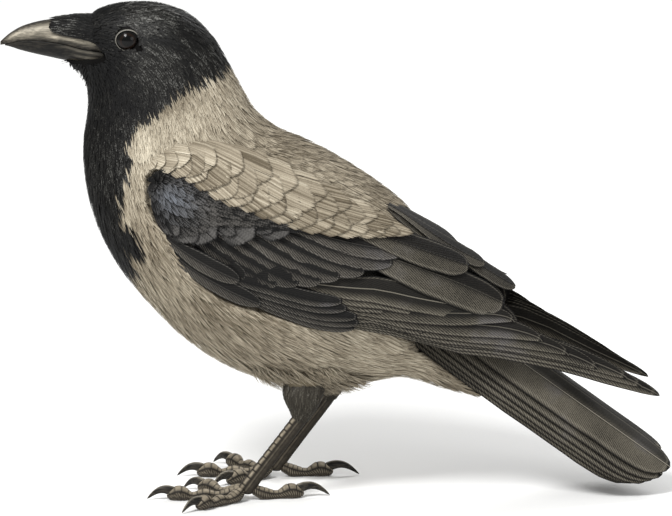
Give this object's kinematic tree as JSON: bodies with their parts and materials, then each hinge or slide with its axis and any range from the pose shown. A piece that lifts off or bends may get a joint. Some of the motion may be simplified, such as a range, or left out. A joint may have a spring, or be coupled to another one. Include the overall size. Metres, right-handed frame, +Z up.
{
  "type": "hooded crow",
  "caption": "Standing hooded crow with folded wings and lowered tail, a life-size still model of the bird for display.",
  "frame": {"origin": "On the floor, under the middle of the bird's bounding box, at the height of the undersides of the toes.", "axes": "+Z is up; the bird faces -X with its tail toward +X; its left side is -Y and its right side +Y."},
  "size_m": [0.4, 0.1214, 0.2999],
  "materials": {
    "black_plumage": "soft black contour feathers with a faint blue gloss",
    "grey_plumage": "soft ash-grey contour feathers with fine dark shafts",
    "flight_feathers": "smooth glossy black vanes with a blue-violet sheen",
    "bill": "satin black horn",
    "eye": "wet dark brown",
    "leg_scales": "black scaled skin",
    "claw": "polished black horn"
  },
  "bodies": {
    "root": {"head": "black_plumage", "bill_upper": "bill", "bill_lower": "bill", "eye_left": "eye", "eye_right": "eye", "neck": "grey_plumage", "trunk": "grey_plumage", "rump": "grey_plumage", "tail": "flight_feathers", "scapulars_left": "grey_plumage", "scapulars_right": "grey_plumage", "wing_shoulder_left": "flight_feathers", "wing_shoulder_right": "flight_feathers", "wing_coverts_left": "flight_feathers", "wing_coverts_right": "flight_feathers", "alula_left": "flight_feathers", "alula_right": "flight_feathers", "tertials_left": "flight_feathers", "tertials_right": "flight_feathers", "primary_coverts_left": "flight_feathers", "primary_coverts_right": "flight_feathers", "secondaries_left": "flight_feathers", "secondaries_right": "flight_feathers", "primaries_left": "flight_feathers", "primaries_right": "flight_feathers", "thigh_left": "black_plumage", "thigh_right": "black_plumage", "tarsus_left": "leg_scales", "tarsus_right": "leg_scales", "toe_hind_left": "leg_scales", "claw_hind_left": "claw", "toe_hind_right": "leg_scales", "claw_hind_right": "claw", "toe_inner_left": "leg_scales", "claw_inner_left": "claw", "toe_inner_right": "leg_scales", "claw_inner_right": "claw", "toe_middle_left": "leg_scales", "claw_middle_left": "claw", "toe_middle_right": "leg_scales", "claw_middle_right": "claw", "toe_outer_left": "leg_scales", "claw_outer_left": "claw", "toe_outer_right": "leg_scales", "claw_outer_right": "claw"}
  },
  "joints": []
}
